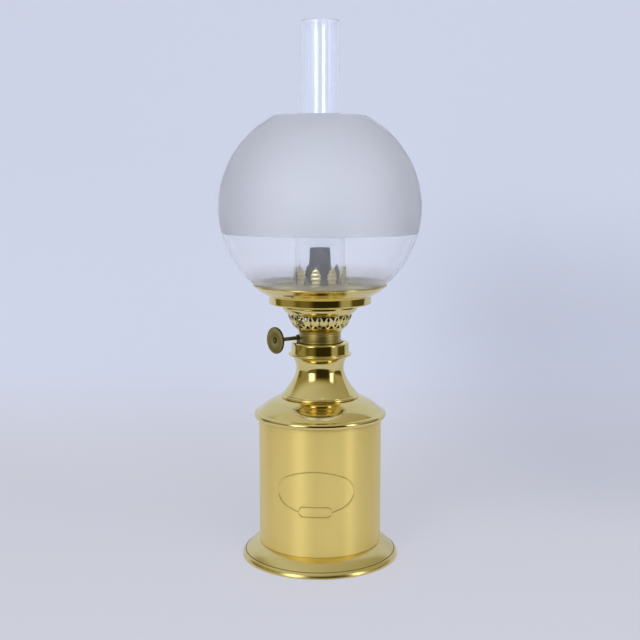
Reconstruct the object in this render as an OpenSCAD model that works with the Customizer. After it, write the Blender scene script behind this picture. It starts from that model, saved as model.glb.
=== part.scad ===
// Kerosene table lamp: a spun brass font, a round-wick burner with its raiser,
// a glass chimney and a glass globe. Sizes are in millimetres.
// The lamp's axis is Z, the foot stands on z = 0 and the raised oval faces -Y.

/* [Sheet and fits] */
// Thickness of the spun brass sheet
sheet = 0.8; // [0.6:0.1:1]
// Gap left for solder between two fixed pieces
solder_gap = 0.05; // [0.02:0.01:0.1]
// Gap between glass and the metal that carries it
glass_gap = 0.3; // [0.2:0.05:0.5]
// Radial clearance of the burner's screw in the collar
thread_gap = 0.05; // [0.02:0.01:0.1]
// Radial running clearance of the spindle in its bearings
spindle_gap = 0.05; // [0.02:0.01:0.1]
// Gap between the wick and the tubes and wheels beside it
wick_gap = 0.25; // [0.15:0.05:0.35]
// Gap under the burner and under the washer that it presses on
seat_gap = 0.05; // [0.02:0.01:0.1]

/* [Foot] */
// How far the foot's rim stands out from the tank
foot_over = 11.9; // [9:0.1:15]
// Height of the foot
foot_h = 10.4; // [8:0.1:14]
// Height of the foot's rim
rim_h = 3.8; // [3:0.1:5]
// How far the rim leans in at its top
rim_lean = 1.9; // [1:0.1:2.4]
// How far the rim bulges
rim_bulge = 0.5; // [0.3:0.05:0.8]
// Width of the flat ring that the foot stands on
rim_flat = 3; // [2:0.1:4]
// Width of the crease between the rim and the foot's top
crease_w = 0.4; // [0.2:0.05:0.6]
// How far the foot's top bulges
foot_crown = 0.9; // [0.5:0.1:1.8]
// Width of the ledge that carries the tank
foot_ledge = 5; // [3:0.1:8]

/* [Tank] */
// Outside radius of the tank
tank_r = 42; // [36:0.5:50]
// Height of the tank wall
tank_h = 87.8; // [75:0.1:110]
// Thickness of the tank's bottom disc
bottom_t = 1; // [0.8:0.1:1.5]

/* [Raised oval] */
// Width of the oval, seen from the front
oval_w = 51.2; // [40:0.2:56]
// Height of the oval
oval_h = 29.6; // [27:0.2:34]
// Radius of the oval's two ends
oval_end_r = 11.6; // [9:0.1:13]
// Height of the oval's middle above the foot
oval_z = 43.8; // [40:0.2:55]
// Turn of the oval away from the front
oval_turn = -4.5; // [-10:0.5:10]
// Width of the raised line
line_w = 0.9; // [0.6:0.1:1.4]
// Height of the raised line above the wall
line_rise = 0.5; // [0.3:0.1:0.8]
// Width of the small tab frame under the oval
tab_w = 22; // [16:0.5:28]
// Height of the tab frame
tab_h = 7.6; // [5:0.1:9]
// How far the tab frame hangs below the oval
tab_drop = 1.8; // [1:0.1:4]
// Size of the tab frame's cut corners
tab_cut = 1.6; // [0.8:0.1:2.2]

/* [Shoulder] */
// Radius of the bead round the shoulder
bead_r = 2.3; // [1.8:0.05:3]
// How far the bead's middle lies outside the tank wall
bead_out = 1.1; // [0.8:0.05:1.6]
// Height of the bead's middle above the tank wall
bead_rise = 1; // [0.4:0.1:1.6]
// Height of the dome above the bead
dome_h = 9.6; // [7:0.1:14]
// How far the dome bulges
dome_crown = 1.1; // [0.4:0.1:2]
// How far the dome's flat top runs out past the neck
dome_over = 1.3; // [0.8:0.1:3]
// Width of the dome's flat top under the neck
dome_flat = 5; // [4:0.1:7]

/* [Neck] */
// Radius of the neck's foot
neck_foot_r = 26.8; // [24:0.1:30]
// Height of the rounded lip at the neck's foot
neck_lip = 2; // [1.2:0.1:2.4]
// Height of the neck
neck_h = 28.9; // [24:0.1:36]
// Radius of the neck at its waist
waist_r = 16.3; // [15:0.1:17.5]
// Height of the waist above the neck's foot
waist_h = 19.4; // [15:0.1:22]
// How sharply the neck flares below the waist
foot_flare = 1.61; // [1.3:0.05:2.2]
// How sharply the neck flares above the waist
top_flare = 2.4; // [1.8:0.1:3]

/* [Collar] */
// Wall of the collar outside its recess
collar_wall = 3.75; // [3:0.05:5]
// Height of the collar
collar_h = 9; // [8:0.1:12]
// Depth of the recess that holds the washer
recess_h = 1.4; // [1:0.1:2]
// How far the flange stands out from the collar
flange_over = 1.85; // [1:0.05:2.5]
// Thickness of the flange
flange_t = 1.4; // [1:0.1:2]
// Radius of the collar's top edge
collar_edge = 1.4; // [0.8:0.1:2]
// Thickness of the washer
washer_t = 1.2; // [0.8:0.1:1.8]
// Gap round the washer, inside and outside
washer_gap = 0.2; // [0.1:0.05:0.3]

/* [Burner body] */
// Outside radius of the burner's band
burner_r = 14.2; // [13.5:0.1:16]
// Wall of the burner body
burner_t = 0.9; // [0.7:0.1:1.1]
// How much smaller the screw is than the band, in radius
thread_step = 0.6; // [0.3:0.1:1]
// Length of the screw
thread_l = 5.6; // [4.5:0.1:7]
// Thickness of the bead that presses on the washer
seat_t = 1; // [0.8:0.1:1.4]
// How far that bead stands out from the band
seat_over = 1; // [0.7:0.1:1.4]
// Height of the band
band_h = 5.6; // [5.6:0.1:8]
// Radius of the bead at the top of the band
top_bead = 0.55; // [0.4:0.05:0.7]
// Thickness of the plate inside the burner
plate_t = 0.8; // [0.6:0.1:1]

/* [Basket] */
// Radius of the basket's top
basket_r = 21.9; // [20.5:0.1:24]
// Height of the basket
basket_h = 12; // [11:0.1:15]
// How far the basket bulges
basket_bulge = 1.2; // [0.8:0.1:1.8]
// Thickness of the basket's sheet
basket_t = 0.6; // [0.5:0.1:0.8]
// Number of pierced figures round the basket
figures = 22; // [18:1:24]
// Turn of the first figure away from the front
basket_turn = 1; // [0.5:0.5:7.5]
// Height of a figure's upper opening
eye_h = 3.2; // [2.4:0.1:3.6]
// Width of the upper opening
eye_w = 1.9; // [1.4:0.1:2.2]
// Height of the middle of the upper opening above the basket's foot
eye_z = 9.7; // [9.4:0.1:9.9]
// Height of a figure's lower opening
point_h = 1.9; // [1.4:0.1:2.2]
// Width of the lower opening
point_w = 2.2; // [1.6:0.1:2.4]
// Height of the lower opening's point above the basket's foot
point_z = 4.3; // [4:0.1:5]
// Width of the gap between two figures, at their tops
gap_w = 3.3; // [2.4:0.1:3.4]
// Height of that gap
gap_h = 3.5; // [2.6:0.1:3.6]
// Height of its point above the basket's foot
gap_z = 8.2; // [7.8:0.1:8.3]
// Width of the gap between two figures, at their feet
foot_gap_w = 3.1; // [2.2:0.1:3.2]
// Height of that gap
foot_gap_h = 2.3; // [1.6:0.1:2.4]
// Height of its point above the basket's foot
foot_gap_z = 5.6; // [5.2:0.1:5.8]

/* [Gallery] */
// How far the cup flares out above the basket
cup_flare = 3.9; // [3.4:0.1:5]
// Height of the cup
cup_h = 6.7; // [5:0.1:9]
// Radius of the cup's rolled edge
cup_edge = 2.2; // [1.6:0.1:2.4]
// How far the cup's side bulges
cup_bulge = 0.25; // [0.1:0.05:0.4]
// Width of the cup's flat foot on the basket
cup_foot = 1.5; // [1:0.1:2]
// Width of the ledge inside the chimney's foot
ledge_in = 0.6; // [0.3:0.1:1]
// Height of the globe holder's band
holder_band = 5.2; // [4:0.1:7]
// Radius of the corner under the band
holder_corner = 0.9; // [0.9:0.1:1.8]
// Slope of the dish, as a share of the globe's slope where it rests
dish_lie = 0.917; // [0.85:0.001:0.95]
// How far the band lies inside the globe's seat
dish_in = 5.2; // [4.5:0.1:7]
// How far the dish's rim lies outside the globe's seat
dish_out = 5.8; // [4.5:0.1:8]
// How far the dish curves up towards its rim
dish_curve = 0.5; // [0.2:0.1:0.8]
// Radius of the dish's rolled rim
dish_rim = 0.65; // [0.5:0.05:0.9]

/* [Chimney crown] */
// Thickness of the crown's sheet
crown_t = 0.7; // [0.5:0.1:0.9]
// Height of the crown's closed ring
crown_ring = 12.5; // [9:0.1:14]
// Height of the fingers above the ring
finger_h = 13.3; // [10:0.1:16]
// Number of fingers
fingers = 10; // [7:1:11]
// Turn of the crown about the lamp's axis
crown_turn = 27; // [0:1:36]
// Width of a finger at its waist
finger_waist = 4.6; // [3.5:0.1:5.5]
// Width of a finger at its widest
finger_w = 7.6; // [6.5:0.1:8.2]

/* [Wick and its tubes] */
// Outside radius of the wick
wick_r = 6.15; // [5.8:0.05:6.5]
// Thickness of the wick
wick_t = 1.45; // [1.2:0.05:1.8]
// Height of the wick tube above the burner's plate
wick_tube_h = 57.2; // [52:0.1:65]
// Wall of the wick tube and the air tube
tube_t = 0.4; // [0.3:0.05:0.5]
// How much wider the wick tube is below its taper, in radius
tube_taper = 0.7; // [0.4:0.05:0.9]
// Height of the taper at the top of the wick tube
taper_h = 14.5; // [10:0.1:20]
// How far the wick lies below the top of its tube
wick_low = 0.5; // [0.2:0.1:1]
// Height of the wick's tail above the tank's bottom
tail_gap = 15; // [13:0.5:25]
// Height of the air duct above the burner's plate
duct_z = 4.4; // [3:0.1:6]
// Height of the air duct
duct_h = 8; // [6:0.1:10]
// Width of the air duct
duct_w = 5; // [4:0.1:5.6]
// How far the knob can lower the wick
wick_down = 10; // [6:0.5:12]

/* [Wick raiser] */
// Turn of the spindle from the front towards the left
spindle_turn = 50; // [40:1:60]
// Radius of the spindle
spindle_r = 1.3; // [1.1:0.05:1.4]
// Height of the spindle above the burner's seat
spindle_z = 2.7; // [2.6:0.1:3.2]
// Length of the spindle from the wick to the knob's face
spindle_l = 31.6; // [27:0.1:40]
// Diameter of the knob
knob_d = 18; // [14:0.5:22]
// Thickness of the knob
knob_t = 1.3; // [1:0.1:2]
// Distance between the two star wheels
wheel_gap = 5.2; // [4:0.1:6]
// Thickness of a star wheel
wheel_t = 1; // [0.8:0.1:1.2]
// Number of teeth on a star wheel
teeth = 10; // [8:1:14]
// Depth of a tooth
tooth_h = 0.8; // [0.5:0.1:1]
// Wall of the gland round the spindle
gland_wall = 0.9; // [0.6:0.1:1.2]
// Length of the gland outside the burner
gland_out = 1.4; // [0.8:0.1:2]
// Wall of the stop collar round the spindle
stop_wall = 0.7; // [0.5:0.1:0.9]
// Length of the stop collar
stop_l = 1.6; // [1.2:0.1:2]
// Radius of the spindle's tenon through the knob
tenon_r = 0.8; // [0.6:0.05:0.9]
// Radius of the riveted head on the knob's face
rivet_r = 1.6; // [1.2:0.1:2.2]
// Height of the riveted head
rivet_h = 0.7; // [0.5:0.1:1]

/* [Chimney] */
// Outside radius of the chimney's foot
chimney_r = 16.9; // [15.5:0.1:18]
// Outside radius of the chimney's upper tube
chimney_top_r = 12.85; // [11:0.05:14.5]
// Height of the chimney
chimney_h = 186.3; // [160:0.5:220]
// Wall of the chimney
chimney_t = 1.2; // [1:0.1:1.6]
// Height of the wide part below the shoulder
chimney_foot_h = 50; // [44:0.5:60]
// Height of the shoulder between the wide and the narrow part
chimney_step_h = 13; // [9:0.5:20]

/* [Globe] */
// Outside radius of the globe
globe_r = 68.1; // [60:0.1:80]
// Radius at which the globe rests on the dish
globe_foot_r = 40; // [36:0.5:44]
// Radius of the globe's top opening
globe_mouth_r = 30; // [25:0.5:35]
// Thickness of the globe's glass
globe_t = 2; // [1.5:0.1:2.5]

/* [Hidden] */
$fn = 96;
// How far a cutting shape runs past what it cuts
over = 1;
// Number of straight steps in a pierced outline, a short curve and a long curve
few_steps = 3;
short_curve = 6;
long_curve = 14;
// Angles at which the bead ends and the cup's edge starts
bead_end = 85;
edge_start = -30;
// How far up a finger its widest place lies
leaf_power = 1.3;

// Globe's slope where it rests, and the dish's own
globe_drop = sqrt(pow(globe_r, 2) - pow(globe_foot_r, 2));
dish_slope = dish_lie * globe_foot_r / globe_drop;
dish_lean = sqrt(1 + pow(dish_slope, 2));
dish_h = dish_rim + dish_slope * (dish_in + dish_out - dish_rim);

// Heights from the foot up
z_tank = foot_h;
z_tank_top = z_tank + tank_h;
z_bead = z_tank_top + bead_rise;
z_dome = z_bead + bead_r;
z_neck = z_dome + dome_h;
z_collar = z_neck + neck_h;
z_collar_top = z_collar + collar_h;
z_recess = z_collar_top - recess_h;
z_washer = z_recess + seat_gap;
z_burner = z_washer + washer_t + seat_gap;
z_band = z_burner + seat_t;
z_band_top = z_band + band_h;
z_basket = z_band_top + 2 * top_bead;
z_plate = z_basket - plate_t;
z_cup = z_basket + basket_h;
z_ledge = z_cup + cup_h;
z_dish = z_ledge + holder_band;
z_rim = z_dish + dish_h;
z_wick_tube_top = z_plate + wick_tube_h;
z_duct = z_plate + plate_t + duct_z;
z_spindle = z_burner + spindle_z;
z_chimney = z_ledge + glass_gap;

// Radii of the font
foot_r = tank_r + foot_over;
tank_in_r = tank_r - sheet;
bead_mid_r = tank_r + bead_out;
dome_r = bead_mid_r - sheet / 2;
thread_r = burner_r - thread_step;
collar_bore_r = thread_r + thread_gap;
seat_r = burner_r + seat_over;
recess_r = seat_r + sheet;
collar_r = recess_r + collar_wall;
flange_r = collar_r + flange_over;
neck_top_r = collar_r - sheet;
neck_hole_r = neck_foot_r - dome_flat;

// Radii of the burner
band_in_r = burner_r - burner_t;
basket_foot_r = burner_r + top_bead;
cup_r = basket_r + cup_flare;
crown_r = chimney_r + glass_gap;
crown_out_r = crown_r + crown_t;
ledge_r = chimney_r - chimney_t - ledge_in;
holder_r = globe_foot_r - dish_in;
rim_out_r = globe_foot_r + dish_out;

// Wick and its tubes
wick_in_r = wick_r - wick_t;
tube_in_r = wick_r + wick_gap;
tube_top_r = tube_in_r + tube_t;
tube_r = tube_top_r + tube_taper;
air_r = wick_in_r - wick_gap;
z_tube = z_burner - thread_l / 2;
z_wick_top = z_wick_tube_top - wick_low;
z_tail = z_tank + bottom_t + tail_gap;

// Wick raiser: the wheels fill the room between the wick and the band
wheels_half = (wheel_gap + wheel_t) / 2;
wheel_room = sqrt(pow(band_in_r, 2) - pow(wheels_half, 2)) - wick_gap;
wheel_r = (wheel_room - wick_r - wick_gap) / 2;
spindle_off = wick_r + wick_gap + wheel_r;
spindle_end = sqrt(pow(band_in_r - wick_gap, 2) - pow(spindle_off + spindle_r, 2));
bearing_face = wheels_half + 2 * wick_gap;
stop_start = wheels_half + 2 * wick_gap;
gland_start = stop_start + stop_l + wick_gap;
gland_end = sqrt(pow(burner_r, 2) - pow(spindle_off, 2)) + gland_out;
gland_r = spindle_r + spindle_gap + gland_wall;

// Globe: its foot lies on the dish's upper face
z_globe_foot = z_dish + dish_slope * dish_in + (sheet + glass_gap - dish_curve) * dish_lean;
z_globe = z_globe_foot + globe_drop;
z_globe_mouth = z_globe + sqrt(pow(globe_r, 2) - pow(globe_mouth_r, 2));

// Points on a circle from angle a to angle b
function arc(centre, r, a, b, steps = short_curve) =
    [for (i = [0 : steps]) let (t = a + (b - a) * i / steps) centre + r * [cos(t), sin(t)]];

// Points on an arc from p to q that bulges by s to the right
function bow(p, q, s, steps = short_curve) =
    let (along = (q - p) / norm(q - p), right = [along.y, -along.x])
    let (r = (pow(norm(q - p), 2) / 4 + s * s) / (2 * s), half = asin(norm(q - p) / (2 * r)))
    let (centre = (p + q) / 2 + (s - r) * right)
    [for (i = [0 : steps]) let (t = half * (2 * i / steps - 1))
        centre + r * (cos(t) * right + sin(t) * along)];

// Direction to the left of a profile at its point i
function left(profile, i) =
    let (d = profile[min(i + 1, len(profile) - 1)] - profile[max(i - 1, 0)])
    [-d.y, d.x] / norm(d);

// Profile moved by t to its left, and turned to run the other way
function inside(profile, t) =
    [for (i = [len(profile) - 1 : -1 : 0]) profile[i] + t * left(profile, i)];

// Sheet spun to an outside profile
module spun(profile, t = sheet) {
    rotate_extrude() polygon(concat(profile, inside(profile, t)));
}

// Upright tube
module tube(r_out, r_in, z0, z1) {
    rotate_extrude() translate([r_in, z0]) square([r_out - r_in, z1 - z0]);
}

// Flat shape set upright at height z and pushed out from the axis towards the front
module upright(z, depth) {
    translate([0, 0, z]) rotate([90, 0, 0]) linear_extrude(depth) children();
}

// Frame of the spindle: its axis becomes +Z, and its start is beside the wick
module on_spindle() {
    rotate(-spindle_turn) translate([-spindle_off, 0, z_spindle]) rotate([90, 0, 0]) children();
}

// Almond with a point above and below
module almond(w, h) {
    side = bow([0, -h / 2], [0, h / 2], w / 2, few_steps);
    polygon(concat(side, [for (i = [1 : few_steps - 1]) -side[i]]));
}

// Oval made of four arcs
module oval(w, h, end_r) {
    end_x = w / 2 - end_r;
    flank_r = (end_x * end_x + h * h / 4 - end_r * end_r) / (h - 2 * end_r);
    join_x = end_x * flank_r / (flank_r - end_r);
    intersection() {
        translate([0, h / 2 - flank_r]) circle(flank_r);
        translate([0, flank_r - h / 2]) circle(flank_r);
        square([2 * join_x, h], center = true);
    }
    for (side = [-1, 1]) translate([side * end_x, 0]) circle(end_r);
}

// Rectangle with its corners cut
module cut_corners(w, h, c) {
    x = w / 2;
    y = h / 2;
    polygon([
        [c - x, -y], [x - c, -y], [x, c - y], [x, y - c],
        [x - c, y], [c - x, y], [-x, y - c], [-x, c - y]
    ]);
}

// Raised lines of the oval and of the tab frame under it
module oval_lines() {
    tab_y = tab_h / 2 - oval_h / 2 - tab_drop;
    difference() {
        oval(oval_w, oval_h, oval_end_r);
        oval(oval_w - 2 * line_w, oval_h - 2 * line_w, oval_end_r - line_w);
        translate([0, tab_y]) cut_corners(tab_w - line_w, tab_h - line_w, tab_cut);
    }
    translate([0, tab_y]) difference() {
        cut_corners(tab_w, tab_h, tab_cut);
        cut_corners(tab_w - 2 * line_w, tab_h - 2 * line_w, tab_cut);
    }
}

module foot() {
    rim_foot = [foot_r, 0];
    rim_top = [foot_r - rim_lean, rim_h];
    top = [tank_r + sheet / 2, foot_h];
    color("#c9a84e") spun(concat(
        [rim_foot - [rim_flat, 0]],
        bow(rim_foot, rim_top, rim_bulge),
        bow(rim_top - [crease_w, 0], top, foot_crown, long_curve),
        [[tank_r - foot_ledge, foot_h]]
    ));
}

module tank_bottom() {
    color("#b8964a") translate([0, 0, z_tank]) cylinder(r = tank_in_r - solder_gap, h = bottom_t);
}

module tank_wall() {
    color("#cbb266") {
        tube(tank_r, tank_in_r, z_tank, z_tank_top);
        intersection() {
            tube(tank_r + line_rise, tank_r - sheet / 2, z_tank, z_tank_top);
            rotate(oval_turn) upright(z_tank + oval_z, tank_r + over) oval_lines();
        }
    }
}

module shoulder() {
    color("#c9a84e") spun(concat(
        [[tank_r + solder_gap, z_bead - bead_r]],
        arc([bead_mid_r, z_bead], bead_r, -90, bead_end, long_curve),
        bow([dome_r, z_dome], [neck_foot_r + dome_over, z_neck], dome_crown, long_curve),
        [[neck_hole_r, z_neck]]
    ));
}

module neck() {
    lip = neck_lip / 2;
    sweep_r = neck_foot_r - sheet;
    z_waist = z_neck + waist_h;
    below = waist_h - neck_lip;
    above = neck_h - waist_h - sheet;
    color("#c9a84e") spun(concat(
        [[neck_hole_r, z_neck]],
        arc([neck_foot_r - lip, z_neck + lip], lip, -90, 90),
        [for (i = [long_curve - 1 : -1 : 0]) let (d = below * i / long_curve)
            [waist_r + (sweep_r - waist_r) * pow(d / below, foot_flare), z_waist - d]],
        [for (i = [1 : short_curve]) let (d = above * i / short_curve)
            [waist_r + (neck_top_r - waist_r) * pow(d / above, top_flare), z_waist + d]],
        [[neck_top_r, z_collar]]
    ));
}

module collar() {
    edge = flange_t / 2;
    color("#b9953f") rotate_extrude() polygon(concat(
        [[collar_bore_r, z_collar]],
        arc([flange_r - edge, z_collar + edge], edge, -90, 90),
        [[collar_r, z_collar + flange_t]],
        arc([collar_r - collar_edge, z_collar_top - collar_edge], collar_edge, 0, 90),
        [[recess_r, z_collar_top], [recess_r, z_recess], [collar_bore_r, z_recess]]
    ));
}

module collar_washer() {
    color("#2a2520")
        tube(recess_r - washer_gap, collar_bore_r + washer_gap, z_washer, z_washer + washer_t);
}

module burner_base() {
    screw_in_r = thread_r - burner_t;
    seat = seat_t / 2;
    color("#9a7c3c") difference() {
        rotate_extrude() polygon(concat(
            [[screw_in_r, z_burner - thread_l], [thread_r, z_burner - thread_l], [thread_r, z_burner]],
            arc([seat_r - seat, z_burner + seat], seat, -90, 90),
            [[burner_r, z_band]],
            arc([burner_r, z_band_top + top_bead], top_bead, -90, 90),
            [[band_in_r, z_basket], [band_in_r, z_band], [screw_in_r, z_burner]]
        ));
        on_spindle() translate([0, 0, gland_start]) cylinder(r = gland_r + solder_gap, h = burner_r);
    }
}

module burner_plate() {
    color("#a98a45") tube(band_in_r - solder_gap, tube_r + solder_gap, z_plate, z_plate + plate_t);
}

module wick_tube() {
    z_taper = z_wick_tube_top - taper_h;
    slot_h = 2 * (wheel_r + wick_gap);
    color("#66666b") difference() {
        rotate_extrude() polygon([
            [tube_r - tube_t, z_tube], [tube_r, z_tube], [tube_r, z_taper],
            [tube_top_r, z_wick_tube_top], [tube_in_r, z_wick_tube_top], [tube_r - tube_t, z_taper]
        ]);
        for (side = [-1, 1]) on_spindle()
            translate([0, -slot_h / 2, side * wheel_gap / 2 - wheel_t / 2 - wick_gap])
                cube([spindle_off, slot_h, wheel_t + 2 * wick_gap]);
        rotate(-spindle_turn) translate([0, -duct_w / 2 - solder_gap, z_duct - solder_gap])
            cube([tube_r + over, duct_w + 2 * solder_gap, duct_h + 2 * solder_gap]);
    }
}

module air_tube() {
    reach = tube_r + tube_t;
    color("#8d8d92") rotate(-spindle_turn) difference() {
        union() {
            translate([0, 0, z_duct]) cylinder(r = air_r, h = z_wick_tube_top - z_duct);
            translate([0, -duct_w / 2, z_duct]) cube([reach, duct_w, duct_h]);
        }
        translate([0, 0, z_duct + tube_t]) cylinder(r = air_r - tube_t, h = wick_tube_h);
        translate([0, tube_t - duct_w / 2, z_duct + tube_t])
            cube([reach + over, duct_w - 2 * tube_t, duct_h - 2 * tube_t]);
    }
}

module spindle_gland() {
    color("#3c3324") on_spindle() translate([0, 0, gland_start]) difference() {
        cylinder(r = gland_r, h = gland_end - gland_start);
        translate([0, 0, -over]) cylinder(r = spindle_r + spindle_gap, h = burner_r);
    }
}

module spindle_bearing() {
    color("#8a6d35") difference() {
        intersection() {
            translate([0, 0, z_band]) cylinder(r = band_in_r - solder_gap, h = band_h);
            on_spindle() translate([-burner_r, -gland_r, -burner_r])
                cube([burner_r + gland_r, 2 * gland_r, burner_r - bearing_face]);
        }
        on_spindle() translate([0, 0, -burner_r]) cylinder(r = spindle_r + spindle_gap, h = burner_r);
    }
}

// Triangle with its point below
module wedge(w, h) {
    polygon([[0, 0], [w / 2, h], [-w / 2, h]]);
}

module basket() {
    step = 360 / figures;
    depth = basket_r + basket_bulge + over;
    color("#d6bf78") difference() {
        spun(concat(
            [[band_in_r, z_basket]],
            bow([basket_foot_r, z_basket], [basket_r, z_cup - basket_t], basket_bulge, few_steps),
            [[basket_r, z_cup]]
        ), basket_t);
        for (i = [0 : figures - 1]) rotate(i * step - basket_turn) {
            upright(z_basket + eye_z, depth) almond(eye_w, eye_h);
            upright(z_basket + point_z, depth) wedge(point_w, point_h);
            rotate(step / 2) upright(z_basket + gap_z, depth) wedge(gap_w, gap_h);
            rotate(step / 2) upright(z_basket + foot_gap_z, depth)
                mirror([0, 1]) wedge(foot_gap_w, foot_gap_h);
        }
    }
}

module gallery_cup() {
    under_edge = [cup_r - cup_edge / 2, z_ledge - 2 * cup_edge];
    color("#c9a84e") spun(concat(
        [[basket_r - cup_foot, z_cup]],
        bow([basket_r, z_cup], under_edge, cup_bulge),
        arc([cup_r - cup_edge, z_ledge - cup_edge], cup_edge, edge_start, 90),
        [[ledge_r, z_ledge]]
    ));
}

module globe_holder() {
    corner = holder_corner;
    profile = concat(
        [[crown_out_r + glass_gap, z_ledge]],
        arc([holder_r - corner, z_ledge + corner], corner, -90, 0),
        bow([holder_r, z_dish], [rim_out_r - dish_rim, z_rim - dish_rim], dish_curve)
    );
    last = len(profile) - 1;
    color("#c9a84e") {
        spun(profile);
        rotate_extrude() translate(profile[last] + sheet / 2 * left(profile, last)) circle(dish_rim);
    }
}

module chimney_crown() {
    z_ring = z_ledge + crown_ring;
    color("#b8994c") rotate(crown_turn) intersection() {
        tube(crown_out_r, crown_r, z_ledge, z_ring + finger_h + over);
        union() {
            translate([0, 0, z_ledge]) cylinder(r = crown_out_r + over, h = crown_ring);
            for (i = [0 : fingers - 1]) rotate(i * 360 / fingers) upright(z_ring, crown_out_r + over)
                finger();
        }
    }
}

// Leaf-shaped finger, from below its waist to its point
module finger() {
    half = [
        for (i = [0 : short_curve]) let (s = i / short_curve)
            [
                finger_waist / 2 * (1 - s)
                    + (finger_w - finger_waist / 2) / 2 * sin(180 * pow(s, leaf_power)),
                s * finger_h
            ]
    ];
    polygon(concat(
        [[-finger_waist / 2, -over]], [[finger_waist / 2, -over]], half,
        [for (i = [len(half) - 2 : -1 : 0]) [-half[i].x, half[i].y]]
    ));
}

module spindle() {
    color("#2e2a22") on_spindle() {
        translate([0, 0, -spindle_end])
            cylinder(r = spindle_r, h = spindle_end + spindle_l - knob_t - solder_gap);
        cylinder(r = tenon_r, h = spindle_l + rivet_h);
        translate([0, 0, spindle_l + solder_gap]) cylinder(r1 = rivet_r, r2 = tenon_r, h = rivet_h);
    }
}

module spindle_collar() {
    color("#8a6d35") on_spindle() translate([0, 0, stop_start]) difference() {
        cylinder(r = spindle_r + stop_wall, h = stop_l);
        translate([0, 0, -over]) cylinder(r = spindle_r + solder_gap / 2, h = burner_r);
    }
}

module star_wheels() {
    tips = [
        for (i = [0 : 2 * teeth - 1])
            let (r = i % 2 == 0 ? wheel_r : wheel_r - tooth_h, t = 180 * i / teeth)
                r * [cos(t), sin(t)]
    ];
    color("#a08448") on_spindle() for (side = [-1, 1])
        translate([0, 0, side * wheel_gap / 2 - wheel_t / 2]) difference() {
            linear_extrude(wheel_t) polygon(tips);
            translate([0, 0, -over]) cylinder(r = spindle_r + solder_gap / 2, h = wheel_t + 2 * over);
        }
}

module wick_knob() {
    color("#8c7a3c") on_spindle() translate([0, 0, spindle_l - knob_t]) difference() {
        cylinder(d = knob_d, h = knob_t);
        translate([0, 0, -over]) cylinder(r = tenon_r + solder_gap / 2, h = knob_t + 2 * over);
    }
}

module wick() {
    slot_w = duct_w + 2 * wick_gap;
    slot_top = z_duct + duct_h + wick_down + 4 * wick_gap;
    color("#d9d2bf") difference() {
        tube(wick_r, wick_in_r, z_tail, z_wick_top);
        rotate(-spindle_turn) translate([0, -slot_w / 2, z_tail - over])
            cube([wick_r + over, slot_w, slot_top - z_tail + over]);
    }
}

module globe() {
    foot_angle = asin((z_globe_foot - z_globe) / globe_r);
    mouth_angle = asin((z_globe_mouth - z_globe) / globe_r);
    color("#e6eaee", 0.5) rotate_extrude() polygon(concat(
        arc([0, z_globe], globe_r, foot_angle, mouth_angle, 3 * long_curve),
        arc([0, z_globe], globe_r - globe_t, mouth_angle, foot_angle, 3 * long_curve)
    ));
}

module chimney() {
    z_step = z_chimney + chimney_foot_h;
    color("#eef3f5", 0.4) spun(concat(
        [[chimney_r, z_chimney]],
        [for (i = [0 : long_curve]) let (s = i / long_curve)
            [
                chimney_top_r + (chimney_r - chimney_top_r) * (1 + cos(180 * s)) / 2,
                z_step + s * chimney_step_h
            ]],
        [[chimney_top_r, z_chimney + chimney_h]]
    ), chimney_t);
}

foot();
tank_bottom();
tank_wall();
shoulder();
neck();
collar();
collar_washer();
burner_base();
burner_plate();
wick_tube();
air_tube();
spindle_gland();
spindle_bearing();
basket();
gallery_cup();
globe_holder();
chimney_crown();
spindle();
spindle_collar();
star_wheels();
wick_knob();
wick();
globe();
chimney();
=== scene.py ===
"""Kerosene table lamp: the looks of its spun brass, pierced burner, wick and glass.

Lengths in the tables of sizes are millimetres and become metres through MM.
The lamp's axis is Z, it stands on z = 0, and the raised oval faces -Y.
"""
import math

import bpy
from mathutils import Matrix, Vector


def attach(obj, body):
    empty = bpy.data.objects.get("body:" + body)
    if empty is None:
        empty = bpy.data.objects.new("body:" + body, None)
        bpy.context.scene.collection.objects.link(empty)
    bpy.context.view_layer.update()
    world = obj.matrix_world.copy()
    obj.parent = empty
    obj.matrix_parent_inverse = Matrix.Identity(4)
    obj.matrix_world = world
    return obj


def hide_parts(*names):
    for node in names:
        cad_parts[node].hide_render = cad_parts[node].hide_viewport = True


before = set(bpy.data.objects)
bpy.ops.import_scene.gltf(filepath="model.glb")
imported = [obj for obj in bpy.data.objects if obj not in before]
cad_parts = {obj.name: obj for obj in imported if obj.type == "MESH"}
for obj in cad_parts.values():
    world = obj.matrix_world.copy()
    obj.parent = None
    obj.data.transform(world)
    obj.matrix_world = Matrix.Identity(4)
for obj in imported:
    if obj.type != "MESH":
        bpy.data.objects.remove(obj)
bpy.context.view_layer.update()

MM = 0.001
ROUND = 128
SMALL_ROUND = 64
CREASE = 35

# Thicknesses of the sheet metal
SHEET = 0.8
BASKET_SHEET = 0.6
CROWN_SHEET = 0.7

# Heights of the lamp's stations
Z_TANK = 10.4
Z_TANK_TOP = 98.2
Z_BEAD = 99.2
Z_DOME = 101.5
Z_NECK = 111.1
Z_WAIST = 130.5
Z_COLLAR = 140.0
Z_COLLAR_TOP = 149.0
Z_RECESS = 147.6
Z_BURNER = 148.9
Z_BAND = 149.9
Z_BAND_TOP = 155.5
Z_BASKET = 156.6
Z_CUP = 168.6
Z_LEDGE = 175.3
Z_DISH = 180.5
Z_RIM = 188.038
Z_CROWN_RING = 187.8
Z_CHIMNEY = 175.6
Z_GLOBE_FOOT = 184.681
Z_GLOBE = 239.796
Z_FROST = 223.4

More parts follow.
